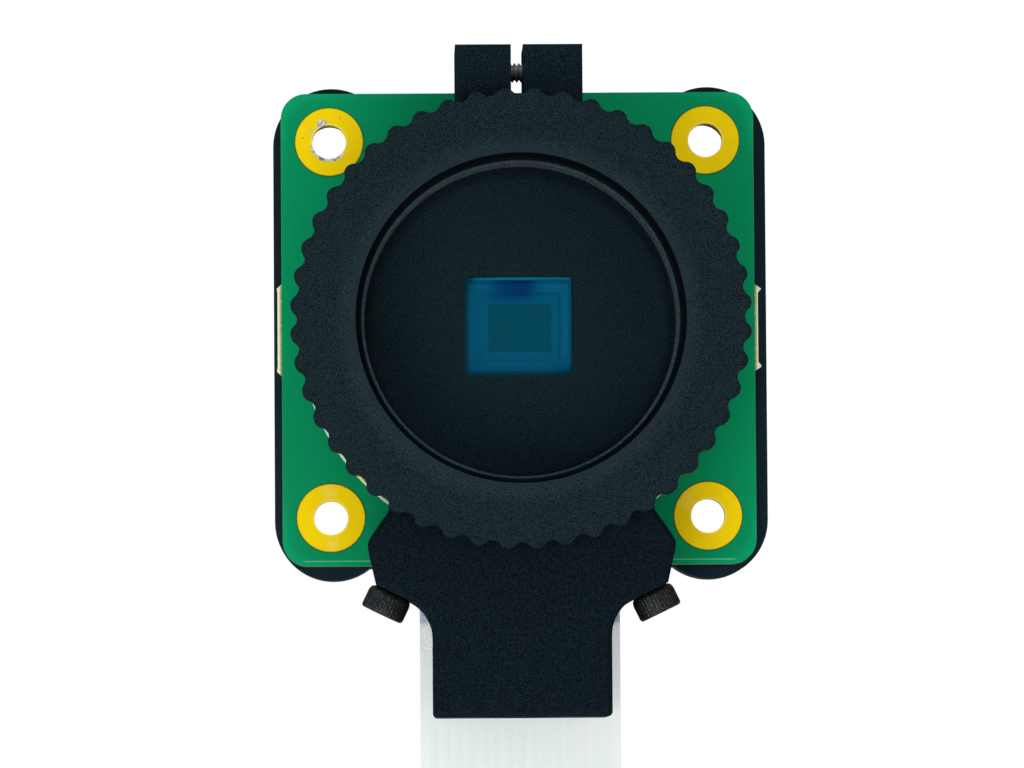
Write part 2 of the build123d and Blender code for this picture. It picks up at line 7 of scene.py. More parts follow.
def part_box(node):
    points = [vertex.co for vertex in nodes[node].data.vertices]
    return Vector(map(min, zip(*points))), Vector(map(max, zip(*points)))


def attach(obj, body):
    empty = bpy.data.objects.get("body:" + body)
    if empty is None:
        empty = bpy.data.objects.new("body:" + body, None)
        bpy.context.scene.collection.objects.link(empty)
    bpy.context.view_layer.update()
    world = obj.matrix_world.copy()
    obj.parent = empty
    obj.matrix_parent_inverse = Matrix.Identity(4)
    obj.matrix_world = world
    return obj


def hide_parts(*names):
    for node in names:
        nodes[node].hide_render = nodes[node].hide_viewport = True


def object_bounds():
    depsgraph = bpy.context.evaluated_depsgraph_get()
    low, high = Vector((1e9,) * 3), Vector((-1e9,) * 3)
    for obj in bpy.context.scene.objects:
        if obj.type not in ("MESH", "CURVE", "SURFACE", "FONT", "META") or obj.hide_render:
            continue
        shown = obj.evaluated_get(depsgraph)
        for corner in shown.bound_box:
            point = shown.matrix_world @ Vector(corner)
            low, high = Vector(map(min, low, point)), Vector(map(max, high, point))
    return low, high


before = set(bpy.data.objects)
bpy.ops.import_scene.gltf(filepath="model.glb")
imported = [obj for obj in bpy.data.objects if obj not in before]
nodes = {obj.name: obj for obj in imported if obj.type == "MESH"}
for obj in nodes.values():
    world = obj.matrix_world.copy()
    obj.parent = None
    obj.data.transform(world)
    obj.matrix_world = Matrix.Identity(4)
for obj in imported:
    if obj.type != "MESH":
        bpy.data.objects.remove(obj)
cad_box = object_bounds()
mm = 0.001

# Places that everything is measured from, read off the frame
board_low, board_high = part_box("circuit_board")
ring_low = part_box("back_focus_ring")[0]
board_face = board_low.y
lens_height = (board_low.z + board_high.z) / 2
board_half = (board_high.z - board_low.z) / 2 / mm
ring_front = (board_face - ring_low.y) / mm

# Sizes that the frame doesn't give, in millimetres; depths count forward from the board's face
inch = 25.4
hole_spacing = 30.0
hole_radius = 1.35
pad_radius = 2.7
lens_thread_radius = inch / 2
lens_crest_radius = 12.24
lens_thread_pitch = inch / 32
lens_thread_start = ring_front - 1.6
lens_thread_end = ring_front - 7.0
focus_thread_radius = 14.46
focus_thread_pitch = 0.75
focus_thread_start = 9.9
focus_thread_length = 5.8
focus_crest_height = 0.16
focus_root_sink = 0.03
tripod_thread_radius = inch / 8
tripod_thread_pitch = inch / 20
tripod_thread_start = 0.1
tripod_thread_length = 9.5
tripod_crest_height = 0.6
root_sink = 0.02
foot_screw_angle = 25.8
foot_screw_seat = 23.45
foot_screw_depth = 5.0
foot_screw = {"head": (1.76, 1.9), "shank": (1.0, 8.0), "pitch": 0.4, "socket": (1.5, 1.0)}
clamp_screw = {"head": (1.76, 1.9), "shank": (1.0, 6.0), "pitch": 0.4, "socket": (1.5, 1.0)}
lock_screw = {"head": (1.4, 1.6), "shank": (0.8, 7.0), "pitch": 0.35, "socket": (1.5, 0.8)}
underside_radius = 0.4
knurl_depth = 0.06
ribbon_width = 16.0
ribbon_thickness = 0.2
conductor_count = 15
conductor_pitch = 1.0
conductor_width = 0.7
conductor_relief = 0.02
window_top = 3.9
active_width = 5.0
active_height = 3.8


def place(right, up, depth):
    """A point from its distances to the lens axis and in front of the board, in millimetres."""
    return Vector((right * mm, board_face - depth * mm, lens_height + up * mm))


# Camera, at the photograph's viewing angle

photo_width = 1024
focal_length_pixels = 7228
sensor_width = 36.0
camera_distance = 575.8
camera_azimuth = math.radians(-0.962)
camera_elevation = math.radians(-3.651)
camera_roll = math.radians(-0.387)
camera_aim = place(-0.539, -4.411, 0)
nearest_seen = 0.01
farthest_seen = 50


def add_camera():
    data = bpy.data.cameras.new("photo_camera")
    data.sensor_width = sensor_width
    data.lens = focal_length_pixels * sensor_width / photo_width
    data.clip_start = nearest_seen
    data.clip_end = farthest_seen
    camera = bpy.data.objects.new("photo_camera", data)
    bpy.context.scene.collection.objects.link(camera)
    flat = math.cos(camera_elevation)
    towards = Vector((
        math.sin(camera_azimuth) * flat,
        -math.cos(camera_azimuth) * flat,
        math.sin(camera_elevation),
    ))
    camera.location = place(0, 0, 0) + towards * camera_distance * mm
    forward = (camera_aim - camera.location).normalized()
    level = forward.cross(Vector((0, 0, 1))).normalized()
    right = math.cos(camera_roll) * level + math.sin(camera_roll) * level.cross(forward)
    up = right.cross(forward)
    camera.rotation_mode = "QUATERNION"
    camera.rotation_quaternion = Matrix((right, up, -forward)).transposed().to_quaternion()
    bpy.context.scene.camera = camera


# Studio: a white surround, soft lights and a pale floor below the hanging cable

white = (1.0, 1.0, 1.0)
cold_white = (0.66, 0.86, 1.0)
surround_colour = (0.95, 0.98, 1.0)
surround_light = 0.75
surround_gloss = 0.16
surround_seen = 1.02
light_aim = place(0, 0, 5)
floor_gap = 0.012
floor_reach = 0.5

# Name; metres to the right of, in front of and above the lens; width in metres; watts; colour
lights = [
    ("key_light", -0.07, 0.18, -0.10, 0.12, 0.19, (1.0, 1.0, 0.98)),
    ("side_light", -0.32, 0.08, 0.02, 0.20, 0.22, cold_white),
    ("top_light", -0.02, 0.16, 0.36, 0.24, 0.50, cold_white),
    ("fill_light", 0.34, 0.36, -0.04, 0.30, 0.40, white),
    ("back_light", 0.16, -0.45, 0.20, 0.40, 0.60, white),
]


def add_light(name, right, forward, up, width, watts, colour):
    """A square soft light that faces the object and that the camera doesn't see."""
    data = bpy.data.lights.new(name, "AREA")
    data.shape = "SQUARE"
    data.size = width
    data.energy = watts
    data.color = colour
    light = bpy.data.objects.new(name, data)
    light.location = Vector((right, -forward, lens_height + up))
    towards = light_aim - light.location
    light.rotation_mode = "QUATERNION"
    light.rotation_quaternion = towards.to_track_quat("-Z", "Y")
    light.visible_camera = False
    bpy.context.scene.collection.objects.link(light)


def add_surround():
    """The world: white to the eye, softer as a light, and dim in reflections."""
    world = bpy.data.worlds.new("studio")
    world.use_nodes = True
    tree = world.node_tree
    light = tree.nodes["Background"]
    light.inputs["Color"].default_value = (*surround_colour, 1)
    light.inputs["Strength"].default_value = surround_light
    rays = tree.nodes.new("ShaderNodeLightPath")
    shown = light.outputs[0]
    for kind, strength in (("Is Glossy Ray", surround_gloss), ("Is Camera Ray", surround_seen)):
        other = tree.nodes.new("ShaderNodeBackground")
        other.inputs["Color"].default_value = (*white, 1)
        other.inputs["Strength"].default_value = strength
        choice = tree.nodes.new("ShaderNodeMixShader")
        tree.links.new(rays.outputs[kind], choice.inputs[0])
        tree.links.new(shown, choice.inputs[1])
        tree.links.new(other.outputs[0], choice.inputs[2])
        shown = choice.outputs[0]
    tree.links.new(shown, tree.nodes["World Output"].inputs[0])
    bpy.context.scene.world = world


def add_floor(finish):
    height = cad_box[0].z - floor_gap
    signs = ((-1, -1), (1, -1), (1, 1), (-1, 1))
    mesh = bpy.data.meshes.new("floor")
    mesh.from_pydata([(x * floor_reach, y * floor_reach, height) for x, y in signs], [], [(0, 1, 2, 3)])
    floor = bpy.data.objects.new("floor", mesh)
    floor.data.materials.append(finish)
    bpy.context.scene.collection.objects.link(floor)


# Surfaces: arithmetic on a socket adds the Math nodes for it


class Value:
    """A number that varies over a surface: the output socket of a node."""

    def __init__(self, finish, socket):
        self.finish = finish
        self.socket = socket

    def math(self, operation, *others):
        return self.finish.node("ShaderNodeMath", {"operation": operation}, [self, *others])

    def __add__(self, other):
        return self.math("ADD", other)

    def __radd__(self, other):
        return self.math("ADD", other)

    def __sub__(self, other):
        return self.math("SUBTRACT", other)

    def __rsub__(self, other):
        return self.finish.node("ShaderNodeMath", {"operation": "SUBTRACT"}, [other, self])

    def __mul__(self, other):
        return self.math("MULTIPLY", other)

    def __rmul__(self, other):
        return self.math("MULTIPLY", other)

    def __truediv__(self, other):
        return self.math("DIVIDE", other)

    def __pow__(self, other):
        return self.math("POWER", other)

    def __abs__(self):
        return self.math("ABSOLUTE")

    def least(self, other):
        return self.math("MINIMUM", other)

    def most(self, other):
        return self.math("MAXIMUM", other)

    def fold(self, period):
        """The distance to the nearest whole multiple of a period."""
        return self.math("PINGPONG", period / 2)

    def step(self, start, end):
        """A smooth step: 0 at the start and 1 at the end, which may be the lower of the two."""
        settings = {"interpolation_type": "SMOOTHSTEP"}
        sides = (0.0, 1.0) if start < end else (1.0, 0.0)
        sockets = {
            "Value": self,
            "From Min": min(start, end),
            "From Max": max(start, end),
            "To Min": sides[0],
            "To Max": sides[1],
        }
        return self.finish.node("ShaderNodeMapRange", settings, sockets)

    def output(self, name):
        """Another output of the same node."""
        return Value(self.finish, self.socket.node.outputs[name])


def distance(across, along):
    return (across * across + along * along) ** 0.5


def seen(red, green, blue):
    """A colour as a screen shows it, from 0 to 255, as the light that it stands for."""
    light = []
    for part in (red, green, blue):
        share = part / 255
        light.append(share / 12.92 if share <= 0.04045 else ((share + 0.055) / 1.055) ** 2.4)
    return (*light, 1.0)


class Finish:
    """A material: its nodes, its shader and the places that its patterns are drawn in."""

    def __init__(self, name, constants):
        self.material = bpy.data.materials.new(name)
        self.material.use_nodes = True
        self.tree = self.material.node_tree
        self.shader = self.tree.nodes["Principled BSDF"]
        for socket, value in constants.items():
            self.shader.inputs[socket].default_value = value
        self.point = self.node("ShaderNodeTexCoord", output="Object")
        parts = self.node("ShaderNodeSeparateXYZ", {}, [self.point])
        self.right = parts.output("X") / mm
        self.up = (parts.output("Z") - lens_height) / mm
        self.depth = (board_face - parts.output("Y")) / mm

    def node(self, kind, settings=None, sockets=(), output=0):
        """A new node: its settings first, then the values or links of its sockets."""
        made = self.tree.nodes.new(kind)
        for name, value in (settings or {}).items():
            setattr(made, name, value)
        pairs = sockets.items() if isinstance(sockets, dict) else enumerate(sockets)
        for name, value in pairs:
            self.feed(made.inputs[name], value)
        return Value(self, made.outputs[output])

    def feed(self, socket, value):
        if isinstance(value, Value):
            self.tree.links.new(value.socket, socket)
        else:
            socket.default_value = value

    def noise(self, size, detail=2.0, roughness=0.5, point=None):
        """Noise from 0 to 1, from the size of its features in millimetres."""
        sockets = {
            "Vector": point or self.point,
            "Scale": 1 / (size * mm),
            "Detail": detail,
            "Roughness": roughness,
        }
        return self.node("ShaderNodeTexNoise", {}, sockets)

    def speckle(self, size):
        """Fine grain with more contrast than the noise that it is made from."""
        return self.noise(size, 2.0, 0.7).step(0.35, 0.65)

    def stretched(self, shares):
        """The point with its three axes scaled, which draws noise out into streaks."""
        return self.node("ShaderNodeVectorMath", {"operation": "MULTIPLY"}, [self.point, shares])

    def spot(self, right, up, radius, soft=0.05):
        """1 inside a disc across the lens axis and 0 outside, with a soft rim."""
        away = distance(self.right - right, self.up - up)
        return away.step(radius + soft, radius - soft)

    def mix(self, share, first, second):
        settings = {"data_type": "RGBA"}
        return self.node("ShaderNodeMix", settings, {0: share, 6: first, 7: second}, 2)

    def bump(self, height, strength, reach):
        """Feeds the shader's normal with a height; the reach is its depth in millimetres."""
        sockets = {"Height": height, "Strength": strength, "Distance": reach * mm}
        self.feed(self.shader.inputs["Normal"], self.node("ShaderNodeBump", {}, sockets))

    def colour(self, value):
        self.feed(self.shader.inputs["Base Color"], value)

    def roughness(self, value):
        self.feed(self.shader.inputs["Roughness"], value)

    def alpha(self, value):
        self.feed(self.shader.inputs["Alpha"], value)

    def let_through(self, share, colour):
        """Lets a share of the light shine through, as thin film does."""
        film = self.node("ShaderNodeBsdfTranslucent", {}, {"Color": colour})
        sockets = [share, Value(self, self.shader.outputs[0]), film]
        mixed = self.node("ShaderNodeMixShader", {}, sockets)
        self.feed(self.tree.nodes["Material Output"].inputs[0], mixed)


def rounded_box(finish, half, corner):
    """How far a point of the board lies outside a square with round corners, in millimetres."""
    across = (abs(finish.right) - (half - corner)).most(0.0)
    along = (abs(finish.up) - (half - corner)).most(0.0)
    return distance(across, along) - corner


def from_hole(finish):
    """How far a point lies from the middle of the nearest corner hole, in millimetres."""
    side = hole_spacing / 2
    return distance(abs(finish.right) - side, abs(finish.up) - side)


def anodised_aluminium(name, dark, light, lens_side=False):
    """Blasted and black anodised, with a fine even grain; the parts round the lens have zones. Painted light
    brightens the crests in the bore and the housing's well floor, and painted shade darkens the groove at
    the bore's mouth.
    """
    finish = Finish(name, {"Specular IOR Level": 0.05})
    grain = finish.noise(0.083, 2.0, 0.7)
    cloud = finish.noise(2.2, 2.0)
    spread = grain.step(0.38, 0.62)
    black = finish.mix(spread, dark, light)
    away = distance(finish.right, finish.up)
    if lens_side:
        paler_inside = 13.4
        plain_outside = 14.8
        front = finish.depth.step(ring_front - 1.0, ring_front - 0.6)
        rim = away.step(plain_outside, paler_inside) * front
        rim_black = finish.mix(spread, seen(12, 24, 28), seen(40, 55, 60))
        black = finish.mix(rim * (0.3 + cloud * 0.6), black, rim_black)

        # Painted light: the thread crests deep in the bore are painted paler to make up for the shade that
        # falls there.
        crest_edge = 12.42
        groove_edge = 12.85
        soft = 0.08
        crest = away.step(crest_edge + soft, crest_edge) * finish.depth.step(4.0, 6.0)
        crest_painted_light = finish.mix(spread, seen(22, 36, 40), seen(54, 70, 74))
        black = finish.mix(crest, black, crest_painted_light)
        # Painted shade: the groove at the bore's mouth is painted near black where shade falls in it.
        groove = away.step(groove_edge + soft, groove_edge) * away.step(crest_edge, crest_edge + 0.1)
        black = finish.mix(groove * finish.depth.step(5.0, 6.0), black, seen(0, 7, 11))
    else:
        # Painted light: the floor of the well round the sensor is painted paler to make up for the shade
        # that falls in it.
        well_radius = 12.2
        well_core = 11.4
        well = away.step(well_radius, well_core) * finish.depth.step(0.4, 0.8)
        well_painted_light = finish.mix(spread, seen(1, 17, 23), seen(30, 50, 56))
        black = finish.mix(well, black, well_painted_light)
    finish.colour(black)
    finish.roughness(0.5 + grain * 0.2 + cloud * 0.06)
    finish.bump(grain, 0.3, 0.03)
    return finish.material


def blackened_steel(name):
    """Black oxide that has rubbed off here and there on the high spots."""
    finish = Finish(name, {"Metallic": 0.7, "Specular IOR Level": 0.3})
    cloud = finish.noise(0.5, 3.0, 0.6)
    rubbed = finish.noise(0.13, 3.0, 0.7).step(0.5, 0.7)
    finish.colour(finish.mix(rubbed * 0.55 + cloud * 0.2, seen(7, 12, 15), seen(112, 114, 112)))
    finish.roughness(0.34 + cloud * 0.2)
    finish.bump(cloud, 0.2, 0.01)
    return finish.material


def bare_steel(name):
    """Plain steel with a dull shine."""
    finish = Finish(name, {"Metallic": 0.6})
    cloud = finish.noise(0.25, 3.0, 0.6)
    finish.colour(finish.mix(cloud, seen(150, 148, 140), seen(206, 203, 194)))
    finish.roughness(0.3 + cloud * 0.2)
    finish.bump(cloud, 0.15, 0.01)
    return finish.material


def lacquered_face(finish, speckle, cloud, rim):
    """Green over copper, paler over the bare rim; a painted highlight along the lower edge and a painted
    shadow round each pad.
    """
    copper = finish.mix(speckle * 0.6 + cloud * 0.4, seen(0, 124, 75), seen(0, 144, 92))
    rim_green = finish.mix(cloud, seen(0, 146, 94), seen(8, 162, 108))
    corner_start = 31.0
    corner_full = 34.5
    corner = (abs(finish.right) + abs(finish.up)).step(corner_start, corner_full)
    green = finish.mix(rim * (0.12 + corner * 0.45), copper, rim_green)

    # Painted highlight: a pale line just above the lower edge, where the board's edge catches the light.
    highlight_line_height = 0.4 - board_half
    highlight_line_half = 17.0
    line = abs(finish.up - highlight_line_height).step(0.07, 0.02) * abs(finish.right).step(highlight_line_half + 0.3, highlight_line_half)
    green = finish.mix(line * 0.55, green, seen(110, 196, 150))
    # Painted shadow: a dark ring round each raised gold pad, where the pad shades the green.
    outline = from_hole(finish).step(pad_radius + 0.16, pad_radius + 0.04)
    return finish.mix(outline * 0.55, green, seen(36, 74, 20))


def solder_mask():
    """Green lacquer on the faces, cut laminate at the edges, and cream fibres where the tabs are torn."""
    finish = Finish("solder_mask", {"Specular IOR Level": 0.05})
    speckle = finish.noise(0.12, 2.0, 0.7)
    cloud = finish.noise(4.0, 3.0)
    fibre = finish.noise(0.14, 4.0, 0.75)
    copper_inset = 0.4
    copper_corner = 2.4
    rim = rounded_box(finish, board_half - copper_inset, copper_corner).step(-0.4, 0.4)
    lacquer = lacquered_face(finish, speckle, cloud, rim)
    cut = finish.mix(finish.noise(0.2, 3.0), seen(96, 116, 62), seen(150, 158, 98))
    normal = finish.node("ShaderNodeTexCoord", output="Normal")
    facing = abs(finish.node("ShaderNodeSeparateXYZ", {}, [normal]).output("Y"))
    surface = finish.mix(facing.step(0.4, 0.6), cut, lacquer)

    outer = abs(finish.right).step(board_half + 0.06, board_half + 0.22)
    pale = (outer + fibre.step(0.45, 0.7) * 0.5).least(1.0)
    cream = finish.mix(pale, seen(140, 144, 74), seen(236, 232, 196))
    torn = abs(finish.right).step(board_half - 0.03, board_half + 0.03)
    finish.colour(finish.mix(torn, surface, cream))
    finish.roughness(0.36 + speckle * 0.1 + torn * 0.45)
    finish.bump(speckle * 0.25 + (1 - rim) * 0.4 + torn * fibre * 2, 0.35, 0.02)
    return finish.material


def gold_plating():
    """Yellow gold with a darker edge and a bright lip; the upper left pad has scuffs and specks."""
    finish = Finish("gold_plating", {"Metallic": 0.1, "Specular IOR Level": 0.05})
    cloud = finish.noise(1.6, 2.0)
    grain = finish.noise(0.09, 3.0, 0.7)
    streak = finish.noise(0.32, 3.0, 0.6)
    side = hole_spacing / 2
    gold = finish.mix(cloud * 0.8 + grain * 0.2, seen(246, 202, 0), seen(255, 220, 10))

    # Paler patches on the two lower pads
    pale = finish.spot(-side - 0.1, -side + 2.05, 0.5, 0.3)
    pale = pale + finish.spot(-side + 0.1, -side - 2.1, 0.45, 0.3)
    pale = pale + finish.spot(side - 1.6, -side + 1.2, 0.6, 0.6) * 0.7
    gold = finish.mix(pale * 0.35, gold, seen(250, 226, 110))
    away = from_hole(finish)
    edge = away.step(pad_radius - 0.1, pad_radius)
    gold = finish.mix(edge * 0.55, gold, seen(196, 140, 0))
    lip = away.step(hole_radius + 0.16, hole_radius + 0.06)
    lip = lip * away.step(hole_radius - 0.02, hole_radius + 0.03)
    gold = finish.mix(lip * 0.5, gold, seen(255, 240, 120))

    # Silvery scuffs below and above the upper left hole
    scuff_radius = 1.53
    ragged = distance(finish.right + side, finish.up - side) + (streak - 0.5) * 0.4
    lower = (finish.up - side).step(-0.1, -0.45) * (finish.right + side).step(1.25, 1.0)
    lower = lower * ragged.step(scuff_radius + 0.08, scuff_radius)
    upper = finish.spot(-side - 0.62, side + 1.42, 0.36, 0.12)
    upper = upper + finish.spot(-side - 0.3, side + 1.62, 0.14, 0.06)
    upper = upper + finish.spot(-side - 1.37, side + 0.87, 0.13, 0.06)
    scuff = (lower + upper * streak.step(0.3, 0.45)).least(1.0)
    silver = finish.mix(streak.step(0.36, 0.62), seen(132, 130, 112), seen(226, 225, 216))
    surface = finish.mix(scuff, gold, silver)
    specks = finish.spot(-side + 0.87, side + 1.92, 0.06)
    specks = specks + finish.spot(-side - 2.08, side + 0.33, 0.05)
    specks = specks + finish.spot(-side - 2.3, side + 0.28, 0.04)
    finish.colour(finish.mix(specks * 0.8, surface, seen(120, 84, 6)))
    finish.roughness(0.4 + cloud * 0.1 + scuff * 0.15)
    finish.bump(grain * 0.4 + scuff * streak, 0.3, 0.01)
    return finish.material


def blue_glass():
    """Blue glass over the sensor: a painted highlight along the top edge, a painted shadow in a deeper blue
    below it and painted shade along the other edges.
    """
    finish = Finish("blue_glass", {"Specular IOR Level": 0.05})
    cloud = finish.noise(1.8, 2.0)
    blue = finish.mix(finish.speckle(0.11), seen(0, 84, 128), seen(0, 124, 166))
    # Painted shadow: a deeper blue strip below the top edge, where the housing's rim shades the glass; it is
    # also made more opaque.
    painted_shadow_middle = -0.4
    painted_shadow_band = finish.up.step(1.3, 3.0) * abs(finish.right - painted_shadow_middle).step(3.0, 0.6)
    painted_shadow_band = painted_shadow_band * (0.6 + cloud * 0.6)
    blue = finish.mix(painted_shadow_band, blue, seen(0, 40, 118))
    green_corner = finish.right.step(-3.2, -4.2) * finish.up.step(1.4, 3.0)
    blue = finish.mix(green_corner * 0.6, blue, seen(0, 96, 84))
    # Painted highlight: a bright cyan line along the top edge of the glass, also made more opaque.
    top_edge_highlight = finish.up.step(window_top - 0.24, window_top - 0.12) * finish.right.step(-3.9, -3.0)
    blue = finish.mix(top_edge_highlight, blue, seen(8, 138, 174))
    # Painted shade: dark outlines along the sides and the bottom of the window, where its frame shades it;
    # they are also made more opaque.
    outline_middle = -0.05
    outline_side = 4.16
    outline_low = -3.76
    beyond = (abs(finish.right - outline_middle) - outline_side).most(outline_low - finish.up)
    outline = beyond.step(0.0, 0.14)
    finish.colour(finish.mix(outline, blue, seen(0, 26, 66)))
    finish.roughness(0.12 + cloud * 0.05)
    finish.alpha(0.24 + painted_shadow_band * 0.25 + top_edge_highlight * 0.3 + outline * 0.5)
    return finish.material


def clear_glass():
    """The sensor's own cover glass, nearly invisible."""
    finish = Finish("clear_glass", {"Alpha": 0.03, "Specular IOR Level": 0.1})
    cloud = finish.noise(4.0, 2.0)
    finish.colour(finish.mix(cloud, seen(10, 110, 134), seen(18, 124, 148)))
    finish.roughness(0.04 + cloud * 0.02)
    return finish.material


def silicon():
    """The die: a dark green field of pixels with a paler frame of circuits round it."""
    finish = Finish("silicon", {"Specular IOR Level": 0.1})
    pixels = finish.speckle(0.11)
    field_right = 0.09
    field_up = -0.02
    across = abs(finish.right - field_right) - active_width / 2
    along = abs(finish.up - field_up) - active_height / 2
    circuits = finish.mix(pixels, seen(0, 105, 140), seen(0, 130, 168))
    green = finish.mix(pixels, seen(0, 60, 0), seen(0, 90, 20))
    finish.colour(finish.mix(across.most(along).step(0.05, -0.05), circuits, green))
    finish.roughness(0.32 + pixels * 0.1)
    return finish.material


def package_ceramic():
    """The sensor's package, which the blue glass covers."""
    finish = Finish("package_ceramic", {"Specular IOR Level": 0.2})
    grain = finish.speckle(0.11)
    finish.colour(finish.mix(grain, seen(0, 136, 178), seen(0, 160, 206)))
    finish.roughness(0.55 + grain * 0.1)
    finish.bump(grain, 0.2, 0.02)
    return finish.material


def moulded_plastic(name, dark, light, grain_size=0.14, dull=0.45):
    """Plastic, rubber or chip resin with a fine moulded grain."""
    finish = Finish(name, {"Specular IOR Level": 0.12})
    grain = finish.noise(grain_size, 3.0, 0.6)
    cloud = finish.noise(5.0, 2.0)
    finish.colour(finish.mix(grain * 0.4 + cloud * 0.6, dark, light))
    finish.roughness(dull + grain * 0.14)
    finish.bump(grain, 0.25, 0.03)
    return finish.material


def ribbon_film():
    """White film; the flat conductors show through as slightly greyer stripes."""
    finish = Finish("ribbon_film", {"Specular IOR Level": 0.3})
    half = conductor_width / 2
    outermost = conductor_count / 2 * conductor_pitch
    side = finish.right.fold(conductor_pitch)
    inside = abs(finish.right).step(outermost + 0.02, outermost - 0.1)
    stripe = side.step(half + 0.07, half - 0.01) * inside
    cloud = finish.noise(1.4, 3.0)
    streak = finish.noise(0.35, 2.0, point=finish.stretched((1, 1, 0.12)))
    film = finish.mix(cloud, seen(240, 243, 241), seen(244, 246, 244))
    metal = finish.mix(streak * 0.6 + cloud * 0.4, seen(236, 240, 239), seen(240, 243, 242))
    finish.colour(finish.mix(stripe, film, metal))
    finish.roughness(0.45 + cloud * 0.12)
    finish.bump(stripe * 0.6 + streak * 0.15, 0.15, 0.02)
    finish.let_through(0.55, seen(246, 248, 247))
    return finish.material


def stiffener_film():
    """Blue film that stiffens the ends of the cable."""
    finish = Finish("stiffener_film", {"Coat Weight": 0.3})
    cloud = finish.noise(1.2, 2.0)
    finish.colour(finish.mix(cloud, seen(24, 84, 182), seen(36, 104, 204)))
    finish.roughness(0.3 + cloud * 0.1)
    finish.bump(cloud, 0.1, 0.02)
    return finish.material


def tinned_copper():
    """Contacts, with the soft unevenness of tin."""
    finish = Finish("tinned_copper", {"Metallic": 1.0})
    cloud = finish.noise(0.3, 3.0)
    finish.colour(finish.mix(cloud, seen(196, 196, 190), seen(226, 224, 216)))
    finish.roughness(0.26 + cloud * 0.16)
    finish.bump(cloud, 0.15, 0.01)
    return finish.material


def can_metal():
    """The lid of the oscillator, brushed from side to side."""
    finish = Finish("can_metal", {"Metallic": 1.0})
    grain = finish.noise(0.08, 3.0, point=finish.stretched((0.1, 1, 1)))
    finish.colour(finish.mix(grain, seen(176, 176, 172), seen(206, 206, 202)))
    finish.roughness(0.3 + grain * 0.15)
    finish.bump(grain, 0.15, 0.01)
    return finish.material


def white_ink():
    """Printed ink that covers a little unevenly."""
    finish = Finish("white_ink", {"Specular IOR Level": 0.3})
    grain = finish.noise(0.06, 3.0)
    finish.colour(finish.mix(grain.step(0.3, 0.7), seen(196, 212, 186), seen(236, 244, 228)))
    finish.roughness(0.55 + grain * 0.1)
    finish.bump(grain, 0.2, 0.01)
    return finish.material


def pale_floor():
    """A pale sweep that fades into the white surround, and that doesn't show from below."""
    finish = Finish("pale_floor", {})
    cloud = finish.noise(300.0, 2.0)
    finish.colour(finish.mix(cloud, seen(240, 240, 238), seen(246, 246, 244)))
    finish.roughness(0.8 + cloud * 0.05)
    fade_start = 60
    fade_end = 280
    below = finish.node("ShaderNodeNewGeometry", output="Backfacing")
    finish.alpha(distance(finish.right, finish.depth).step(fade_end, fade_start) * (1 - below))
    return finish.material


# Meshes

sharpest_smooth = math.radians(32)


def add_piece(name, vertices, faces, finish, body, smooth=False):
    """A new piece of the object that rides on a body."""
    mesh = bpy.data.meshes.new(name)
    mesh.from_pydata([tuple(v) for v in vertices], [], faces)
    mesh.validate()
    mesh.update()
    if smooth:
        for polygon in mesh.polygons:
            polygon.use_smooth = True
        mesh.set_sharp_from_angle(angle=sharpest_smooth)
    piece = bpy.data.objects.new(name, mesh)
    piece.data.materials.append(finish)
    bpy.context.scene.collection.objects.link(piece)
    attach(piece, body)
    return piece


def axis_frame(along):
    """Three directions: the axis and two across it."""
    along = Vector(along).normalized()
    side = along.orthogonal().normalized() if abs(along.y) < 0.9 else Vector((1, 0, 0))
    return along, side, along.cross(side)


def bridge(first, second, count):
    """Quads between two loops of as many points."""
    pairs = [(i, (i + 1) % count) for i in range(count)]
    return [(first + i, first + j, second + j, second + i) for i, j in pairs]


def end_faces(last, count):
    """The faces that close a row of loops at its first and its last loop."""
    return [tuple(range(count))[::-1], tuple(last + i for i in range(count))]


def thread(name, start, along, root, crest, pitch, length, finish, body, steps):
    """A helical ridge from its root in the wall to a flat crest; it fades out at both ends."""
    root_half = 0.46
    crest_half = 0.1
    fade_steps = 0.3 * steps
    least_height = 0.02
    along, side, other = axis_frame(along)
    count = int((length - pitch) / pitch * steps)
    vertices = []
    faces = []
    for i in range(count + 1):
        turn = 2 * math.pi * i / steps
        rise = pitch * i / steps + pitch / 2
        out = side * math.cos(turn) + other * math.sin(turn)
        fade = min(1.0, i / fade_steps, (count - i) / fade_steps)
        top = root + (crest - root) * max(fade, least_height)
        profile = ((root, -root_half), (top, -crest_half), (top, crest_half), (root, root_half))
        for radius, shift in profile:
            vertices.append(start + (out * radius + along * (rise + shift * pitch)) * mm)
    for i in range(count):
        for j in range(4):
            a = i * 4 + j
            b = i * 4 + (j + 1) % 4
            faces.append((a, b, b + 4, a + 4))
    faces += end_faces(count * 4, 4)
    if crest < root:
        faces = [face[::-1] for face in faces]
    add_piece(name, vertices, faces, finish, body, smooth=True)


def lathe(rings, steps):
    """A closed body from loops of a radius, or a function of the turn that gives it, and a height."""
    vertices = []
    faces = []
    for radius, height in rings:
        for i in range(steps):
            turn = 2 * math.pi * i / steps
            reach = radius(turn) if callable(radius) else radius
            vertices.append((reach * math.cos(turn), reach * math.sin(turn), height))
    last = (len(rings) - 1) * steps
    for k in range(0, last, steps):
        faces += bridge(k, k + steps, steps)
    return vertices, faces + end_faces(last, steps)


def hexagon(inner):
    """The radius of a hexagon over a turn, by its inner radius."""
    sixth = math.pi / 3
    return lambda turn: inner / math.cos((turn + sixth / 2) % sixth - sixth / 2)


def knurl(radius, teeth):
    """The radius of a knurled head over a turn: broad ridges with narrow grooves."""
    return lambda turn: radius - knurl_depth * (0.5 - 0.5 * math.cos(teeth * turn)) ** 0.7


def ridged(radius, groove, pitch, height):
    """The radius of a threaded shank over a turn, at a height; its grooves have a flat bottom."""
    steepness = 1.15

    def reach(turn):
        phase = (height / pitch + turn / (2 * math.pi)) % 1
        return radius - groove * min(1.0, abs(2 * phase - 1) * steepness)

    return reach


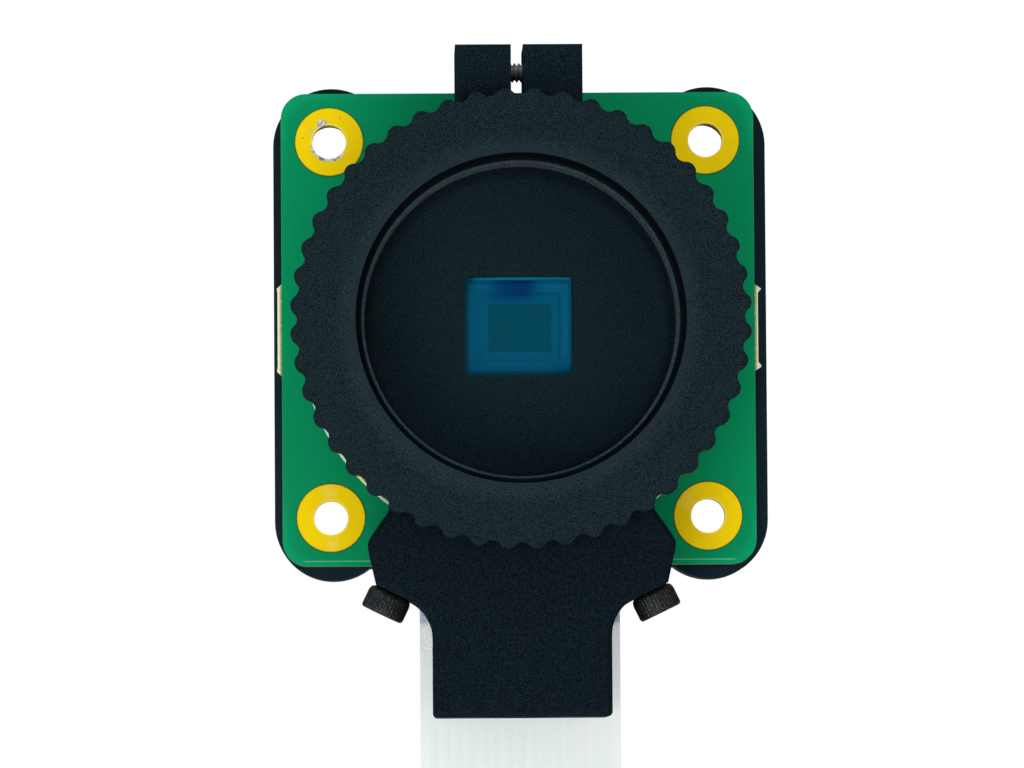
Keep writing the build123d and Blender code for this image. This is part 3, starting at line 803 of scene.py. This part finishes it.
def cap_screw(name, node, seat, out, size, finish):
    """A socket cap screw: knurled head, hexagon socket with a drilled bottom, threaded shank."""
    head_radius, head_height = size["head"]
    shank_radius, shank_length = size["shank"]
    socket_width, socket_depth = size["socket"]
    pitch = size["pitch"]
    teeth = 40
    steps = teeth * 5
    bend_steps = 5
    pitch_steps = 6
    groove = 0.62 * pitch
    lead_in = 1.2
    head_side = knurl(head_radius, teeth)
    rings = [
        (0.02, head_height - socket_depth - 0.25),
        (hexagon(socket_width / 2 - 0.02), head_height - socket_depth),
        (hexagon(socket_width / 2), head_height - 0.1),
        (socket_width / 2 * lead_in, head_height),
        (head_radius - 0.2, head_height),
        (head_radius - 0.1, head_height - 0.03),
        (head_radius - 0.05, head_height - 0.12),
        (head_side, head_height - 0.2),
        (head_side, underside_radius + 0.1),
    ]
    for i in range(bend_steps + 1):
        bend = math.pi / 2 * i / bend_steps
        reach = head_radius - 0.03 - underside_radius * (1 - math.cos(bend))
        rings.append((reach, underside_radius * (1 - math.sin(bend))))
    rings.append((shank_radius, 0))
    for i in range(1, int(shank_length / pitch * pitch_steps) - 2):
        height = -pitch * i / pitch_steps
        rings.append((ridged(shank_radius, groove, pitch, height), height))
    rings.append((shank_radius - groove, -shank_length + 0.1))
    rings.append((0.05, -shank_length))
    vertices, faces = lathe(rings, steps)
    along, side, other = axis_frame(out)
    places = [seat + (side * x + other * y + along * z) * mm for x, y, z in vertices]
    piece = add_piece(name, places, faces, finish, "camera", smooth=True)
    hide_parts(node)


# Pieces


def add_threads(ring_finish, foot_finish):
    thread(
        "lens_thread", place(0, 0, lens_thread_start), (0, 1, 0), lens_thread_radius + root_sink,
        lens_crest_radius, lens_thread_pitch, lens_thread_start - lens_thread_end,
        ring_finish, "focus_ring", steps=128,
    )
    thread(
        "focus_thread", place(0, 0, focus_thread_start), (0, 1, 0), focus_thread_radius - focus_root_sink,
        focus_thread_radius + focus_crest_height, focus_thread_pitch, focus_thread_length,
        ring_finish, "focus_ring", steps=128,
    )
    thread(
        "tripod_thread", Vector((0, 0, tripod_thread_start * mm)), (0, 0, 1),
        tripod_thread_radius + root_sink, tripod_thread_radius - tripod_crest_height,
        tripod_thread_pitch, tripod_thread_length, foot_finish, "camera", steps=72,
    )


def add_screws(steel, lock_steel):
    angle = math.radians(foot_screw_angle)
    for side, hand in ((-1, "left"), (1, "right")):
        out = Vector((side * math.sin(angle), 0, -math.cos(angle)))
        seat = place(out.x * foot_screw_seat, out.z * foot_screw_seat, foot_screw_depth)
        cap_screw("foot_screw_" + hand, "tripod_screw_" + hand, seat, out, foot_screw, steel)
        node = "housing_screw_" + hand
        low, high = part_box(node)
        middle = (low + high) / 2
        seat = Vector((middle.x, high.y - clamp_screw["head"][1] * mm, middle.z))
        cap_screw("clamp_screw_" + hand, node, seat, (0, 1, 0), clamp_screw, steel)
    node = "focus_lock_screw"
    low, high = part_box(node)
    middle = (low + high) / 2
    seat = Vector((high.x - lock_screw["head"][1] * mm, middle.y, middle.z))
    cap_screw("lock_screw", node, seat, (1, 0, 0), lock_screw, lock_steel)


def circle(right, up, radius, depth, steps):
    """Points round a circle that lies parallel to the board."""
    turns = [2 * math.pi * i / steps for i in range(steps)]
    return [place(right + radius * math.cos(t), up + radius * math.sin(t), depth) for t in turns]


def add_board_print(ink):
    """The printed circle round the housing."""
    inner = 17.26
    outer = 17.44
    height = 0.015
    steps = 256
    vertices = []
    faces = []
    for k, (radius, depth) in enumerate(((inner, 0), (inner, height), (outer, height), (outer, 0))):
        vertices += circle(0, 0, radius, depth, steps)
        faces += bridge(k * steps, (k + 1) % 4 * steps, steps)
    add_piece("printed_circle", vertices, faces, ink, "camera")


def add_test_pad(gold):
    """A small bare pad beside the housing, half under the ring's scallops."""
    turn = math.radians(223.5)
    away = 16.75
    radius = 0.55
    height = 0.03
    steps = 40
    vertices = []
    for depth in (0, height):
        vertices += circle(away * math.cos(turn), away * math.sin(turn), radius, depth, steps)
    faces = bridge(0, steps, steps) + end_faces(steps, steps)
    add_piece("test_pad", vertices, faces, gold, "camera")


# Flat cable; its route holds the sideways, backward and upward places of its points in millimetres

ribbon_route = [
    (0, 7.65, 17.65),
    (0, 7.65, -14.6),
    (0, 10.45, -54.5),
    (0, 15.65, -96.2),
    (0, 21.25, -132.3),
]


def cable_line():
    """Points along the cable's smooth line, in metres."""
    curve = bpy.data.curves.new("cable_line", "CURVE")
    curve.dimensions = "3D"
    curve.resolution_u = 40
    spline = curve.splines.new("NURBS")
    spline.points.add(len(ribbon_route) - 1)
    for point, spot in zip(spline.points, ribbon_route):
        point.co = (*[part * mm for part in spot], 1)
    spline.order_u = 3
    spline.use_endpoint_u = True
    line = bpy.data.objects.new("cable_line", curve)
    bpy.context.scene.collection.objects.link(line)
    bpy.context.view_layer.update()
    mesh = bpy.data.meshes.new_from_object(line)
    points = [v.co.copy() for v in mesh.vertices]
    bpy.data.meshes.remove(mesh)
    bpy.data.objects.remove(line)
    bpy.data.curves.remove(curve)
    return points


def cable_section():
    """The section's outline, front side first: the film stands a little proud over each conductor."""
    thick = ribbon_thickness / 2
    thin = thick - conductor_relief
    edge = ribbon_width / 2
    bevel = 0.05
    worn = thin * 0.6
    foot = conductor_width / 2 + 0.06
    shoulder = conductor_width / 2 - 0.04
    front = [(-edge, worn), (-edge + bevel, thin)]
    for i in range(conductor_count):
        middle = (i - (conductor_count - 1) / 2) * conductor_pitch
        front += [(middle - foot, thin), (middle - shoulder, thick)]
        front += [(middle + shoulder, thick), (middle + foot, thin)]
    front += [(edge - bevel, thin), (edge, worn)]
    return front + [(x, -height) for x, height in reversed(front)]


def add_cable(film):
    points = cable_line()
    section = cable_section()
    count = len(section)
    last = len(points) - 1
    vertices = []
    faces = []
    for i, point in enumerate(points):
        along = (points[min(i + 1, last)] - points[max(i - 1, 0)]).normalized()
        front = Vector((1, 0, 0)).cross(along)
        if front.y > 0:
            front = -front
        for x, height in section:
            vertices.append(point + Vector((x * mm, 0, 0)) + front * height * mm)
    for i in range(last):
        faces += bridge(i * count, (i + 1) * count, count)
    faces += end_faces(last * count, count)
    cable = add_piece("flat_cable", vertices, faces, film, "camera", smooth=True)
    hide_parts("ribbon_cable")


def dress(finishes):
    """Gives the pieces that keep their solid form their finish."""
    for name, finish in finishes.items():
        materials = nodes[name].data.materials
        materials.clear()
        materials.append(finish)


bpy.context.scene.view_settings.view_transform = "Standard"
add_camera()
add_surround()
add_floor(pale_floor())
for light in lights:
    add_light(*light)

housing_black = anodised_aluminium("black_anodised", seen(0, 6, 10), seen(20, 37, 45))
foot_black = anodised_aluminium("foot_anodised", seen(0, 2, 5), seen(13, 31, 38))
ring_black = anodised_aluminium("ring_anodised", seen(0, 9, 13), seen(28, 44, 49), lens_side=True)
tin = tinned_copper()
stiffener = stiffener_film()
gold = gold_plating()
nylon = moulded_plastic("nylon", seen(206, 202, 190), seen(224, 221, 210))
dress({
    "circuit_board": solder_mask(),
    "mounting_pads": gold,
    "main_housing": housing_black,
    "back_focus_ring": ring_black,
    "tripod_mount": foot_black,
    "ir_cut_filter": blue_glass(),
    "sensor_gasket": moulded_plastic("gasket_rubber", seen(20, 20, 21), seen(30, 30, 31), dull=0.7),
    "sensor_package": package_ceramic(),
    "sensor_die": silicon(),
    "sensor_cover_glass": clear_glass(),
    "rear_cover": moulded_plastic("cover_plastic", seen(0, 22, 32), seen(6, 34, 45), 0.2),
    "housing_washer_left": nylon,
    "housing_washer_right": nylon,
    "cable_connector": moulded_plastic("connector_plastic", seen(222, 214, 192), seen(233, 226, 206)),
    "connector_latch": moulded_plastic("latch_plastic", seen(40, 34, 30), seen(52, 46, 41)),
    "connector_contacts": tin,
    "ribbon_contacts_near": tin,
    "ribbon_contacts_far": tin,
    "ribbon_stiffener_near": stiffener,
    "ribbon_stiffener_far": stiffener,
    "voltage_regulators": moulded_plastic("chip_epoxy", seen(28, 28, 30), seen(38, 38, 40)),
    "clock_oscillator": can_metal(),
    "power_inductors": moulded_plastic("ferrite", seen(58, 58, 60), seen(76, 76, 78)),
    "capacitors": moulded_plastic("capacitor_ceramic", seen(150, 112, 74), seen(178, 138, 96), 0.08),
    "resistors": moulded_plastic("resistor_glaze", seen(22, 22, 24), seen(34, 34, 38)),
})
add_cable(ribbon_film())
add_threads(ring_black, foot_black)
add_screws(blackened_steel("black_steel"), bare_steel("dark_steel"))
add_board_print(white_ink())
add_test_pad(gold)
